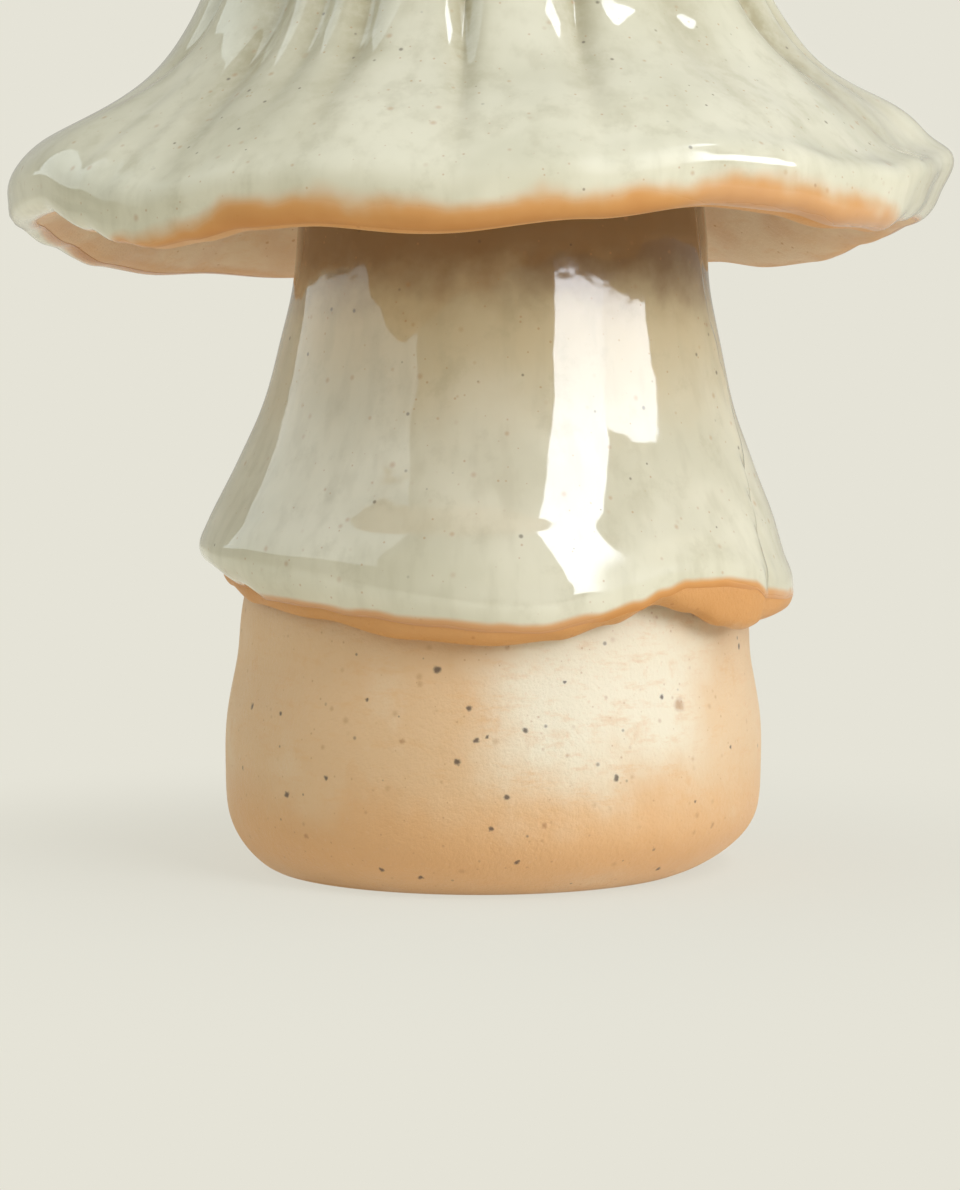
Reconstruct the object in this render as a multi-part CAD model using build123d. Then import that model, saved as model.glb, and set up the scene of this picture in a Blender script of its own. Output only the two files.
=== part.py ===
from build123d import *
import math
import os

# Hand-built stoneware mushroom ornament with a fluted, flaring cap, a rolled stem skirt and a bare
# rounded foot. Millimetres, +Z up, origin at the centre of the flat foot, front facing -Y.
# Angles run round the upright axis from the front towards +X, in degrees.

# Levels above the foot
skirt_level = 21.0
brim_level = 51.8
cap_height = 50.5

# Cap: a pinched bell whose wall thickens into a rolled, wavy brim
cap_radius = 38.9
cap_wall = 3.0
brim_wall = 5.6
brim_wave = 2.1
brim_curl = 1.3
brim_spread = 1.2
brim_tuck = 1.0
brim_swell = 2.4
cap_shift = -0.8
furrow_depth = 1.15
furrow_width = 1.5
crown_wall = 4.0
crown_land_radius = 3.6
hole_diameter = 3.5

# Stem skirt: a slab rolled into a flaring tube and lapped at the right
stem_radius = 15.3
stem_wall = 2.8
skirt_radius = 24.3
skirt_wave = 1.9
skirt_spread = 1.0
skirt_overhang = 3.1
lap_step = 0.5
lap_angle = 57.5
lap_ramp_angle = 14
lap_tuck = 0.2
lap_tuck_angle = 8
stem_lean = 0.7
front_fullness = 1.0

# Foot: a hollow bulb whose neck stands up inside the skirt
foot_radius = 17.5
foot_wall = 4.5
foot_shift = -1.2
bulb_bulge = 1.2
bulb_wall = 3.0
neck_radius = 16.0
lip_clearance = 0.3

# Slip in the two luted joints, and the glaze coats
slip_thickness = 0.8
cap_joint_height = 5.0
neck_joint_height = 4.0
glaze_thickness = 0.45
glaze_edge_thickness = 0.15

# Points of every ring, and the step in height over which the bell's slope is taken
ring_points = 144
slope_step = 0.02
ring_step = 360 / ring_points
ring_angles = [-180 + k * ring_step for k in range(ring_points)]
ring_parameters = [k / ring_points for k in range(ring_points + 1)]

# Cap outside, crown to glaze line: shares of the cap's radius and height, and how much of the
# brim's wave, the furrows, the brim's curl and the tuck under its nose each ring takes
cap_outer_shares = [
    (0.180, 0.984, 0.00, 0.10, 0.0, 0.0),
    (0.290, 0.937, 0.00, 0.40, 0.0, 0.0),
    (0.386, 0.861, 0.00, 0.75, 0.0, 0.0),
    (0.462, 0.766, 0.00, 0.95, 0.0, 0.0),
    (0.518, 0.653, 0.00, 1.00, 0.0, 0.0),
    (0.553, 0.535, 0.00, 1.00, 0.0, 0.0),
    (0.592, 0.418, 0.00, 1.00, 0.2, 0.0),
    (0.644, 0.325, 0.10, 0.95, 0.5, 0.0),
    (0.712, 0.255, 0.25, 0.75, 0.8, 0.0),
    (0.794, 0.200, 0.50, 0.45, 0.9, 0.0),
    (0.880, 0.152, 0.75, 0.25, 0.2, 0.0),
    (0.949, 0.109, 0.92, 0.10, -0.3, 0.0),
    (0.992, 0.067, 1.00, 0.05, 1.0, -0.8),
    (0.985, 0.032, 1.00, 0.00, 0.7, 0.5),
]
# Rolled lip below the glaze line: inset and height in shares of the brim's wall, and how much of the
# brim's curl and of the tuck under its nose
lip_shares = [(0.20, 0.105, 0.3, 1.0), (0.52, 0.0, 0.0, 0.4), (0.90, 0.14, 0.0, 0.0)]
# Inside of the cap between the brim and the stem's joint: height, how much of the brim's wall there
# is left, and how much wider the sloping wall measures across
cap_inner_shares = [
    (0.14, 1.00, 1.28), (0.27, 0.85, 1.32), (0.41, 0.45, 1.22), (0.56, 0.15, 1.12), (0.72, 0.0, 1.08),
    (0.88, 0.0, 1.06),
]
# Inside of the dome between the joint and the crown: height, and wall across
dome_inner_shares = [(0.30, 1.05), (0.62, 1.20), (1.0, 1.62)]
dome_top_share = 0.88
inner_furrow_share = 0.5
# Heights between which a furrow turns from its angle on the bell to its angle at the brim, and the
# heights between which the bell may close on the stem
furrow_turn_shares = (0.52, 0.07)
joint_limit_shares = (0.15, 0.90)

# Furrows pressed down the bell: angle on the bell and at the brim, and shares of depth and width
furrow_rows = [
    (-62, -62, 0.6, 0.8), (-43, -39, 1.1, 1.25), (-31, -29, 0.8, 0.8), (-21, -21, 1.0, 0.9),
    (-4, -3, 1.1, 0.65), (18.5, 13, 0.9, 0.75), (34, 36, 0.6, 1.2), (57, 68, 1.2, 1.4),
    (74, 80, 0.8, 0.9), (88, 90, 1.0, 1.0), (103, 104, 0.8, 1.1), (121, 120, 1.1, 0.9),
    (140, 142, 0.7, 1.2), (157, 155, 1.0, 0.9), (174, 174, 1.1, 1.1), (-170, -168, 0.7, 0.8),
    (-152, -154, 1.0, 1.2), (-134, -132, 0.8, 0.9), (-117, -119, 1.1, 1.1), (-100, -104, 0.9, 0.9),
    (-82, -88, 1.0, 1.0),
]

# Height of the brim's edge round the cap, in shares of the brim's wave
brim_wave_shares = [
    (-176, -0.33), (-160, -0.62), (-148, -0.71), (-138, -0.62), (-128, -0.76), (-116, -0.52),
    (-104, 0.12), (-90, 0.57), (-75, 0.57), (-62, 0.67), (-52, -0.17), (-46, -0.76), (-41, -1.0),
    (-35, -0.81), (-28, -0.48), (-19, -0.33), (-4, -0.62), (12, -0.19), (27, 0.33), (37, 0.24),
    (47, -0.14), (57, -0.14), (66, 0.35), (80, 0.68), (98, 0.62), (112, 0.22), (124, -0.36),
    (134, -0.48), (144, -0.14), (158, 0.05), (170, -0.19),
]
# Where the lip's nose droops or rises, in shares of the brim's curl
brim_curl_shares = [
    (-100, -0.69), (-60, -0.15), (-30, 0.15), (0, 0.0), (30, 0.23), (60, 0.62), (90, 1.0),
    (120, 0.77), (160, 0.15), (-150, -0.23),
]
# Reach of the brim round the cap, in shares of the brim's spread
brim_spread_shares = [
    (-90, 0.50), (-60, 0.30), (-30, 0.0), (0, -0.25), (30, -0.50), (55, -0.80), (75, -1.10), (92, -0.20),
    (120, -0.20), (150, 0.20), (180, 0.35), (-150, 0.50), (-120, 0.60),
]

# Where the brim's nose is drawn out and its underside tucked in, in shares of the brim's tuck
brim_tuck_shares = [(45, 0.0), (70, 0.8), (90, 1.0), (108, 0.7), (130, 0.0), (-90, 0.0)]

# Where the brim swells behind the fold at the right: by angle, then reach, height and rise
brim_swell_shares = [(72, 0.0), (89, 1.0), (104, 1.0), (135, 0.0), (-90, 0.0)]
swell_rows = [
    (0.0, 0.418, 0.0), (0.25, 0.325, 0.0), (0.22, 0.255, 0.0), (0.20, 0.200, 0.15), (0.75, 0.152, 0.45),
    (0.55, 0.109, 0.72), (0.0, 0.067, 0.05), (0.0, 0.032, 0.0),
]

# Stem skirt outside, below and above the brim: height, and flare from stem to skirt radius
skirt_outer_shares = [
    (1.0, 0.145), (0.854, 0.192), (0.740, 0.285), (0.653, 0.358), (0.536, 0.478), (0.442, 0.615),
    (0.351, 0.752), (0.266, 0.890), (0.182, 0.985),
]
stem_above_shares = [(0.75, 0.02), (0.50, 0.05), (0.25, 0.09)]
# Lean of the stem towards +X, by height above the skirt's level
stem_lean_shares = [(1.0, 1.0), (0.62, 0.62), (0.22, -0.45), (0.0, -0.10)]
# Glaze line and bare edge of the skirt, in shares of the skirt's wave above its level
skirt_glaze_shares = [
    (-180, 1.0), (-150, 1.74), (-125, 1.32), (-105, 2.05), (-92, 2.42), (-80, 2.10), (-62, 1.42),
    (-52, 0.95), (-38, 0.79), (-27, 0.53), (-12, 0.21), (0, 0.0), (8, -0.05), (19, 0.37),
    (27, 0.79), (33, 1.32), (38, 1.63), (47, 1.63), (56, 1.42), (60, 1.0), (75, 0.79), (90, 0.74),
    (120, 0.37), (150, 0.68),
]
skirt_edge_shares = [
    (-180, 0.26), (-150, 0.89), (-125, 0.58), (-105, 1.21), (-90, 1.53), (-75, 1.32), (-60, 0.74),
    (-38, 0.32), (-17, -0.37), (0, -0.58), (12, -0.37), (23, 0.21), (33, 0.95), (41, 0.58),
    (50, -0.05), (56, -0.26), (63, -0.05), (80, 0.05), (110, -0.37), (150, -0.05),
]
# Reach of the skirt's edge, in shares of the skirt's spread
skirt_spread_shares = [
    (-180, -0.4), (-130, -0.7), (-95, -1.1), (-75, -1.4), (-58, -1.5), (-40, -1.2), (-20, -0.6),
    (0, -0.2), (40, 0.3), (65, 0.8), (90, 1.05), (140, 0.2),
]
# Fullness of the skirt's front, which flares later than its sides: by height share, and by angle
front_height_shares = [
    (1.0, 0.40), (0.854, 0.25), (0.740, -0.20), (0.653, -0.42), (0.536, -0.65), (0.442, -0.95),
    (0.351, -1.0), (0.266, -0.90), (0.182, -0.45), (0.0, 0.0),
]
front_angle_shares = [(-90, 0.0), (-62, 0.75), (-40, 1.0), (35, 1.0), (60, 0.55), (85, 0.0), (180, 0.0)]
# Rolled edge of the skirt: inset and height in shares of the skirt's wall
skirt_lip_shares = [(0.18, 0.14), (0.55, 0.0)]
skirt_inside_share = 0.25
# Inside of the skirt: height up to the neck, and how far it has narrowed to there
skirt_inner_shares = [(0.44, 0.14), (0.65, 0.41), (0.86, 0.78)]
# Inside of the tube above the neck: how far it has narrowed, and height
tube_inner_shares = [(0.35, 0.12), (0.75, 0.35), (1.0, 0.70)]
# Heights between which the skirt may close on the neck
neck_limit_shares = (0.20, 1.0)
limit_steps = 800

# Foot bulb outside, in shares of the skirt's level: reach from foot to belly and height, then how
# far it has narrowed to the waist and height, then how far to the neck and height up to there
bulb_shares = [
    (0.085, 0.007), (0.270, 0.030), (0.590, 0.090), (0.790, 0.148), (0.920, 0.210), (0.980, 0.281),
    (1.0, 0.395), (1.0, 0.505),
]
waist_shares = [(0.17, 0.624), (0.54, 0.743), (0.875, 0.857), (1.0, 0.967)]
shoulder_shares = [(0.12, 0.20), (0.42, 0.52), (0.80, 0.84)]
heel_inside_share = 1.4


def blend(low, high, share):
    return low + (high - low) * share


def around(shares, angle):
    """Value of a table of (angle, share) pairs at an angle, joined smoothly right round."""
    pairs = sorted(shares)
    pairs = [(a - 360, s) for a, s in pairs] + pairs + [(a + 360, s) for a, s in pairs]
    for (a0, s0), (a1, s1) in zip(pairs[:-1], pairs[1:]):
        if a0 <= angle < a1:
            part = (angle - a0) / (a1 - a0)
            return blend(s0, s1, part * part * (3 - 2 * part))
    return pairs[-1][1]


def along(rows, place, column):
    """Value of one column of a falling table at a height share, joined by straight runs."""
    for high, low in zip(rows[:-1], rows[1:]):
        if low[1] <= place <= high[1]:
            part = (place - low[1]) / (high[1] - low[1])
            return blend(low[column], high[column], part)
    return rows[0][column] if place > rows[0][1] else rows[-1][column]


def turn_between(angle, centre):
    return (angle - centre + 180) % 360 - 180


def ring(radius_at, height_at, shift=0.0):
    """Closed smooth wire round the axis, from radius and height as functions of the angle."""
    points = []
    for angle in ring_angles:
        radius = radius_at(angle)
        turn = math.radians(angle)
        points.append((radius * math.sin(turn) + shift, -radius * math.cos(turn), height_at(angle)))
    return Wire([Edge.make_spline(points, periodic=True, parameters=ring_parameters)])


def flat_ring(radius, height, shift=0.0):
    return ring(lambda angle: radius, lambda angle: height, shift)


def flat_face(outline, hole=None):
    return Face(outline, [hole] if hole else [])


def skin(rings):
    """Smooth faces through a run of rings."""
    return Shell.make_loft(rings).faces()


def band(*rings):
    """Straight-sided faces from each ring to the next."""
    return Shell.make_loft(rings, ruled=True).faces()


def closed(*groups):
    """Solid inside the given groups of faces."""
    solid = Solid(Shell([face for group in groups for face in group]))
    return solid if solid.volume > 0 else Solid(Shell([-face for face in solid.faces()]))


# Cap

def furrow(angle, radius, height_share):
    """Share of the furrows' depth at a point of the bell."""
    start, end = furrow_turn_shares
    drift = min(max((start - height_share) / (start - end), 0), 1)
    width = math.degrees(furrow_width / radius)
    return max(deep * math.exp(-(turn_between(angle, blend(bell, brim, drift)) / (wide * width)) ** 2)
               for bell, brim, deep, wide in furrow_rows)


def cap_radius_at(height_share):
    """Mean outer radius of the bell at a share of the cap's height."""
    return cap_radius * along(cap_outer_shares, height_share, 0)


def cap_shift_at(height_share):
    """Sideways shift of the bell, which is centred again at its crown."""
    return cap_shift * min(2 - 2 * height_share, 1)


def cap_ring(row, under=glaze_thickness):
    """Ring of the bell, at a depth under the face of its glaze: the clay, unless one is given."""
    reach_share, height_share, wave, groove, curl, tuck = row
    radius = cap_radius * reach_share
    slope = cap_slope(height_share)
    inward = under / math.hypot(1, slope)

    def radius_at(angle):
        spread = wave * brim_spread * around(brim_spread_shares, angle)
        spread -= tuck * brim_tuck * around(brim_tuck_shares, angle)
        spread += brim_swell * around(brim_swell_shares, angle) * along(swell_rows, height_share, 0)
        return radius + spread - groove * furrow_depth * furrow(angle, radius, height_share) - inward

    def height_at(angle):
        lift = wave * brim_wave * around(brim_wave_shares, angle)
        lift += curl * brim_curl * around(brim_curl_shares, angle)
        lift += brim_swell * around(brim_swell_shares, angle) * along(swell_rows, height_share, 2)
        return brim_level + cap_height * height_share + lift + inward * slope

    return ring(radius_at, height_at, cap_shift_at(height_share))


def cap_slope(height_share):
    """Change of the bell's radius with height, which is negative where it flares."""
    high = min(height_share + slope_step, cap_outer_shares[0][1])
    low = max(height_share - slope_step, cap_outer_shares[-1][1])
    return (cap_radius_at(high) - cap_radius_at(low)) / ((high - low) * cap_height)


def lip_ring(inset_share, height_share, curl, tuck):
    """Ring of the brim's rolled lip."""
    def radius_at(angle):
        spread = brim_spread * around(brim_spread_shares, angle)
        spread -= tuck * brim_tuck * around(brim_tuck_shares, angle)
        return cap_radius - inset_share * brim_wall + spread

    def height_at(angle):
        lift = brim_wave * around(brim_wave_shares, angle)
        lift += curl * brim_curl * around(brim_curl_shares, angle)
        return brim_level + height_share * brim_wall + lift

    return ring(radius_at, height_at, cap_shift)


def cap_inner_ring(height_share, wall_across, ripple=inner_furrow_share):
    """Ring of the bell's inside, which follows the brim's wave and, more softly, the furrows."""
    wave = along(cap_outer_shares, height_share, 2)
    groove = ripple * along(cap_outer_shares, height_share, 3)
    radius = cap_radius_at(height_share) - glaze_thickness - wall_across

    def radius_at(angle):
        spread = wave * brim_spread * around(brim_spread_shares, angle)
        return radius + spread - groove * furrow_depth * furrow(angle, radius, height_share)

    def height_at(angle):
        lift = wave * brim_wave * around(brim_wave_shares, angle)
        return brim_level + cap_height * height_share + lift

    return ring(radius_at, height_at, cap_shift_at(height_share))


# The stem rises in the bell until the wall closes on it, and its joint is there
seat_radius = stem_radius + slip_thickness
room_needed = seat_radius + cap_wall + furrow_depth + glaze_thickness
joint_shares = [blend(*joint_limit_shares, step / limit_steps) for step in range(limit_steps)]
joint_share = max(share for share in joint_shares if cap_radius_at(share) >= room_needed)
joint_top = brim_level + cap_height * joint_share
joint_bottom = joint_top - cap_joint_height

crown_top = brim_level + cap_height
crown_ring = flat_ring(crown_land_radius, crown_top)
crown_inner_ring = flat_ring(crown_land_radius, crown_top - crown_wall)
cap_rings = [crown_ring] + [cap_ring(row) for row in cap_outer_shares]
lip_rings = [cap_rings[-1]] + [lip_ring(*row) for row in lip_shares]
seat_low = flat_ring(seat_radius, joint_bottom)
seat_high = flat_ring(seat_radius, joint_top)


def cap_shell():
    """Pinched clay bell, its rolled brim and the pierced crown."""
    low_share = (joint_bottom - brim_level) / cap_height
    inner_rings = [cap_inner_ring(up * low_share, blend(cap_wall, brim_wall, brim) * across)
                   for up, brim, across in cap_inner_shares]
    dome_rings = [cap_inner_ring(blend(joint_share, dome_top_share, up), cap_wall * across, ripple=0.0)
                  for up, across in dome_inner_shares]
    hole = Wire([Edge.make_circle(hole_diameter / 2, Plane.XY.offset(crown_top))])
    hole_inside = Wire([Edge.make_circle(hole_diameter / 2, Plane.XY.offset(crown_top - crown_wall))])
    bore = Face.extrude(hole_inside.edge(), (0, 0, crown_wall))
    return closed(
        skin(cap_rings),
        skin(lip_rings + inner_rings + [seat_low]),
        band(seat_low, seat_high),
        skin([seat_high] + dome_rings + [crown_inner_ring]),
        [flat_face(crown_ring, hole), flat_face(crown_inner_ring, hole_inside), bore],
    )


def cap_glaze():
    """Glaze coat over the bell, down to the line where it breaks off above the brim's edge."""
    coat_rings = [cap_ring(row, under=0.0) for row in cap_outer_shares[:-1]]
    coat_rings.append(cap_ring(cap_outer_shares[-1], under=glaze_thickness - glaze_edge_thickness))
    coat_crown = flat_ring(crown_land_radius, crown_top + glaze_thickness)
    return closed(
        skin(cap_rings),
        skin([coat_crown] + coat_rings),
        band(crown_ring, coat_crown),
        band(cap_rings[-1], coat_rings[-1]),
    )


# Stem skirt

def lap(angle):
    """Rise of the lapped seam: the front edge of the slab stands proud, the rear edge is tucked."""
    turn = turn_between(angle, lap_angle)
    if turn <= 0:
        return lap_step * math.exp(-(turn / lap_ramp_angle) ** 2)
    return -lap_tuck * math.exp(-((turn - ring_step) / lap_tuck_angle) ** 2)


def lean_at(height):
    """Sideways lean of the stem, which stands upright again at its joint in the cap."""
    if height >= brim_level:
        return stem_lean * max(joint_bottom - height, 0) / (joint_bottom - brim_level)
    share = max((height - skirt_level) / (brim_level - skirt_level), 0)
    for high, low in zip(stem_lean_shares[:-1], stem_lean_shares[1:]):
        if low[0] <= share <= high[0]:
            return stem_lean * blend(low[1], high[1], (share - low[0]) / (high[0] - low[0]))


def flare_radius(flare):
    """Radius of the clay where the skirt has flared by a share of its reach."""
    return blend(stem_radius, skirt_radius - glaze_thickness, flare)


def skirt_flare(height):
    """Mean radius of the skirt's clay at a height above the foot."""
    share = (height - skirt_level) / (brim_level - skirt_level)
    rows = skirt_outer_shares
    for high, low in zip(rows[:-1], rows[1:]):
        if low[0] <= share <= high[0]:
            part = (share - low[0]) / (high[0] - low[0])
            return flare_radius(blend(low[1], high[1], part))
    return flare_radius(1 if share < rows[-1][0] else 0)


def tube_rings(coat=0.0):
    """Outer rings of the tube inside the cap, under the joint."""
    rows = stem_above_shares + [(0.0, skirt_outer_shares[0][1])]
    return [stem_ring(flare_radius(flare), blend(brim_level, joint_bottom, up), coat) for up, flare in rows]


def skirt_rings(coat=0.0):
    """Outer rings of the skirt below the tube."""
    return [stem_ring(flare_radius(flare), blend(skirt_level, brim_level, up), coat)
            for up, flare in skirt_outer_shares]


def fullness_at(height):
    """How far the front stands out from a round skirt, fading out above the brim's level."""
    share = (height - skirt_level) / (brim_level - skirt_level)
    if share > 1:
        above = (height - brim_level) / (joint_bottom - brim_level)
        return front_fullness * front_height_shares[0][1] * (1 - above)
    for high, low in zip(front_height_shares[:-1], front_height_shares[1:]):
        if low[0] <= share <= high[0]:
            return front_fullness * blend(low[1], high[1], (share - low[0]) / (high[0] - low[0]))
    return 0.0


def stem_ring(radius, height, coat=0.0):
    """Ring of the tube or skirt, with the lap's step fading out under the cap."""
    lapped = min(max((brim_level + brim_wall - height) / (2 * brim_wall), 0), 1)
    full = fullness_at(height)
    return ring(lambda angle: radius + coat + lapped * lap(angle) + full * around(front_angle_shares, angle),
                lambda angle: height, lean_at(height))


def skirt_edge_ring(height_shares, inset_share=0.0, lift_share=0.0, coat=0.0):
    """Ring of the skirt's wavy lower edge, moved in and up by shares of its wall."""
    def radius_at(angle):
        reach = skirt_spread * around(skirt_spread_shares, angle) + lap(angle)
        return blend(flare_radius(1) + reach, inside_radius, inset_share) + coat

    def height_at(angle):
        return skirt_level + lift_share * stem_wall + skirt_wave * around(height_shares, angle)

    return ring(radius_at, height_at, lean_at(skirt_level))


# The neck meets the skirt where the skirt's inside has narrowed to it
neck_seat = neck_radius + slip_thickness
neck_shares = [blend(*neck_limit_shares, step / limit_steps) for step in range(limit_steps)]
neck_levels = [blend(skirt_level, brim_level, share) for share in neck_shares]
roomy_levels = [level for level in neck_levels if skirt_flare(level) >= neck_seat + stem_wall]
neck_top = max(roomy_levels + neck_levels[:1])
neck_bottom = neck_top - neck_joint_height
waist_radius = skirt_radius - skirt_overhang
inside_radius = waist_radius + lip_clearance
belly_radius = waist_radius + bulb_bulge

stem_top_ring = flat_ring(stem_radius, joint_top)
stem_joint_ring = flat_ring(stem_radius, joint_bottom)
neck_seat_low = flat_ring(neck_seat, neck_bottom, lean_at(neck_bottom))
neck_seat_high = flat_ring(neck_seat, neck_top, lean_at(neck_bottom))
neck_low = flat_ring(neck_radius, neck_bottom, lean_at(neck_bottom))
neck_high = flat_ring(neck_radius, neck_top, lean_at(neck_bottom))


def skirt_glaze_line(coat=0.0):
    """Line on the skirt where its glaze breaks off above the bare edge."""
    return skirt_edge_ring(skirt_glaze_shares, coat=coat)


def skirt_inside_ring():
    """Inner edge of the skirt, which follows the wave and stands just clear of the bulb."""
    lift = skirt_inside_share * stem_wall
    return ring(lambda angle: inside_radius,
                lambda angle: skirt_level + lift + skirt_wave * around(skirt_edge_shares, angle))


def stem_sleeve():
    """Rolled slab: tube, flaring skirt, lapped seam and rolled lower edge."""
    edge = [skirt_edge_ring(skirt_edge_shares, inset, up) for inset, up in skirt_lip_shares]
    narrow_radius = skirt_flare(neck_bottom) - stem_wall
    inner = []
    for up, narrow in skirt_inner_shares + [(1.0, 1.0)]:
        height = blend(skirt_level, neck_bottom, up)
        inner.append(flat_ring(blend(inside_radius, narrow_radius, narrow), height, lean_at(height)))
    tube = [neck_seat_high]
    for narrow, up in tube_inner_shares:
        height = blend(neck_top, joint_top, up)
        tube.append(flat_ring(blend(neck_seat, stem_radius - stem_wall, narrow), height, lean_at(height)))
    tube.append(flat_ring(stem_radius - stem_wall, joint_top))
    return closed(
        band(stem_top_ring, stem_joint_ring, *tube_rings()),
        skin(skirt_rings() + [skirt_glaze_line()]),
        skin([skirt_glaze_line()] + edge + [skirt_inside_ring()]),
        band(skirt_inside_ring(), *inner),
        [flat_face(inner[-1], neck_seat_low)],
        band(neck_seat_low, neck_seat_high),
        skin(tube),
        [flat_face(stem_top_ring, tube[-1])],
    )


def stem_glaze():
    """Glaze coat on the skirt, from just under the cap's joint to its break line."""
    coat_top = flat_ring(stem_radius + glaze_edge_thickness, joint_bottom)
    coat_line = skirt_glaze_line(coat=glaze_edge_thickness)
    return closed(
        band(stem_joint_ring, *tube_rings()),
        skin(skirt_rings() + [skirt_glaze_line()]),
        band(coat_top, *tube_rings(glaze_thickness)),
        skin(skirt_rings(glaze_thickness) + [coat_line]),
        [flat_face(coat_top, stem_joint_ring)],
        band(skirt_glaze_line(), coat_line),
    )


# Foot

def bulb_rings(inset, foot_height):
    """Rings of the bulb from just above its foot to its shoulder, moved in by a wall."""
    rows = []
    for reach, up in bulb_shares:
        rows.append((blend(foot_radius, belly_radius, reach), up * skirt_level, foot_shift * (1 - reach)))
    for narrow, up in waist_shares:
        rows.append((blend(belly_radius, waist_radius, narrow), up * skirt_level, 0.0))
    for narrow, up in shoulder_shares:
        height = blend(skirt_level, neck_bottom, up)
        rows.append((blend(waist_radius, neck_radius, narrow), height, lean_at(height)))
    return [flat_ring(radius - inset, height, shift) for radius, height, shift in rows if height > foot_height]


def foot_bulb():
    """Hollow bulb: flat foot, rounded heel, belly, shoulder and a neck that opens upwards."""
    sole = flat_ring(foot_radius, 0.0, foot_shift)
    outer = [sole] + bulb_rings(0.0, 0.0) + [neck_low]
    floor_ring = flat_ring(foot_radius - bulb_wall, foot_wall, foot_shift)
    inner_rings = bulb_rings(bulb_wall, foot_wall * heel_inside_share)
    neck_inner_low = flat_ring(neck_radius - bulb_wall, neck_bottom, lean_at(neck_bottom))
    neck_inner_high = flat_ring(neck_radius - bulb_wall, neck_top, lean_at(neck_bottom))
    return closed(
        [flat_face(sole)],
        skin(outer),
        band(neck_low, neck_high),
        [flat_face(neck_high, neck_inner_high)],
        band(neck_inner_low, neck_inner_high),
        skin([floor_ring] + inner_rings + [neck_inner_low]),
        [flat_face(floor_ring)],
    )


# Luted joints

def slip_ring(inner_low, inner_high, outer_low, outer_high):
    return closed(
        band(inner_low, inner_high),
        band(outer_low, outer_high),
        [flat_face(outer_low, inner_low), flat_face(outer_high, inner_high)],
    )


def cap_joint_slip():
    """Slip that lutes the top of the stem into the bell."""
    return slip_ring(stem_joint_ring, stem_top_ring, seat_low, seat_high)


def neck_joint_slip():
    """Slip that lutes the bulb's neck into the skirt."""
    return slip_ring(neck_low, neck_high, neck_seat_low, neck_seat_high)


pieces = {
    "cap_shell": cap_shell,
    "cap_glaze": cap_glaze,
    "stem_sleeve": stem_sleeve,
    "stem_glaze": stem_glaze,
    "foot_bulb": foot_bulb,
    "cap_joint_slip": cap_joint_slip,
    "neck_joint_slip": neck_joint_slip,
}

os.makedirs("parts", exist_ok=True)
for name, make in pieces.items():
    piece = make()
    export_step(piece, f"parts/{name}.step")
    print(name, round(piece.volume, 1), piece.is_valid)
print("joint top", round(joint_top, 2), "neck top", round(neck_top, 2), "crown", crown_top)
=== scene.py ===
import math
import bpy
import numpy as np
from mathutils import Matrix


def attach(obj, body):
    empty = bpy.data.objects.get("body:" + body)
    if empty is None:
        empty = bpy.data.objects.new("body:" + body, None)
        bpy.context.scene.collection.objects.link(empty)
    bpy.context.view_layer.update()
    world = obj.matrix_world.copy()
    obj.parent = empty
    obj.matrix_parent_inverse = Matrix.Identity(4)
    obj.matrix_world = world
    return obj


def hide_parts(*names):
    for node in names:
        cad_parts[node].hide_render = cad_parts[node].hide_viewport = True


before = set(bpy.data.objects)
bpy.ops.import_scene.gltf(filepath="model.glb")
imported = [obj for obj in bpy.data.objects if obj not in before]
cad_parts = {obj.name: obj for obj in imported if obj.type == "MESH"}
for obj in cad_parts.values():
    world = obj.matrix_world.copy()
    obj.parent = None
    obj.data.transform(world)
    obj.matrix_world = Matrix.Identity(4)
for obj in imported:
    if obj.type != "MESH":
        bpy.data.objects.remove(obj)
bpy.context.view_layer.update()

# Hand-built stoneware mushroom ornament: fluted glazed cap, lapped glazed skirt, bare rounded foot.
# Shapes are worked out in millimetres in the part's frame, and put into the scene in metres.
# Angles run round the upright axis from the front towards +X, in degrees.
MM = 0.001

# Levels above the foot
skirt_level = 21.0
brim_level = 51.8
cap_height = 50.5

# Cap
cap_radius = 38.9
cap_wall = 3.0
brim_wall = 5.6
brim_wave = 2.1
brim_curl = 1.3
brim_spread = 1.2
brim_tuck = 1.0
brim_swell = 2.4
cap_shift = -0.8
furrow_depth = 1.15
furrow_width = 1.5
crown_wall = 4.0
crown_land_radius = 3.6
hole_diameter = 3.5
joint_height = 5.0
joint_top = 82.34
joint_bottom = joint_top - joint_height

# Stem skirt
stem_radius = 15.3
stem_wall = 2.8
skirt_radius = 24.3
skirt_wave = 1.9
skirt_spread = 1.0
skirt_overhang = 3.1
lap_step = 0.5
lap_angle = 57.5
lap_ramp_angle = 14
lap_tuck = 0.2
lap_tuck_angle = 8
lap_face_angle = 1.5
lap_drift = [(0.0, 2), (0.2, 5), (0.45, 14), (0.6, 15), (0.8, 10), (1.0, 8)]
stem_lean = 0.7
front_fullness = 1.0

# Foot
foot_radius = 17.5
foot_wall = 4.5
foot_shift = -1.2
bulb_bulge = 1.2
bulb_wall = 3.0
neck_radius = 16.0
neck_joint_height = 4.0
neck_top = 36.95
neck_bottom = neck_top - neck_joint_height
lip_clearance = 0.3
waist_radius = skirt_radius - skirt_overhang
inside_radius = waist_radius + lip_clearance
belly_radius = waist_radius + bulb_bulge

# Coats: the glaze lies on the clay, and its hidden back a little way inside the clay
slip_thickness = 0.8
glaze_thickness = 0.45
glaze_back = 0.15
edge_round = 0.4
# At the hole, how far in the rounded edge's middle point lies, and how thick the glaze's inner rim is
round_share = 0.3
rim_share = 0.6
# The glaze runs into a low roll just above its end, and thins to nothing there
glaze_feather = 0.03
edge_taper = 1.8
glaze_roll = 0.12
roll_place = 2.2
roll_width = 0.9
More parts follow.
